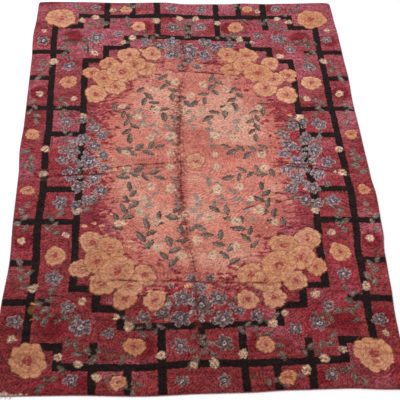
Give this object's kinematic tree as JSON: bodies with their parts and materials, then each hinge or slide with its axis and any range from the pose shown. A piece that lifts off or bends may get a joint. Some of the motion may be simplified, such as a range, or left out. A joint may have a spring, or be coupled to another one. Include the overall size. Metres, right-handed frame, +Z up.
{
  "type": "art deco rug",
  "caption": "Hand-knotted wool pile floor rug with an art deco floral field and border, lying flat with old fold creases.",
  "frame": {"origin": "middle of the rug's outline, on the floor", "axes": "+Z up out of the pile, +Y along the rug's length, towards the end that is farther away in the picture"},
  "size_m": [2.04, 2.9308, 0.02],
  "materials": {
    "pile": "worn wool pile, patterned in crimson, salmon, gold, slate blue, grey-green and black"
  },
  "bodies": {
    "root": {"rug": "pile"}
  },
  "joints": []
}
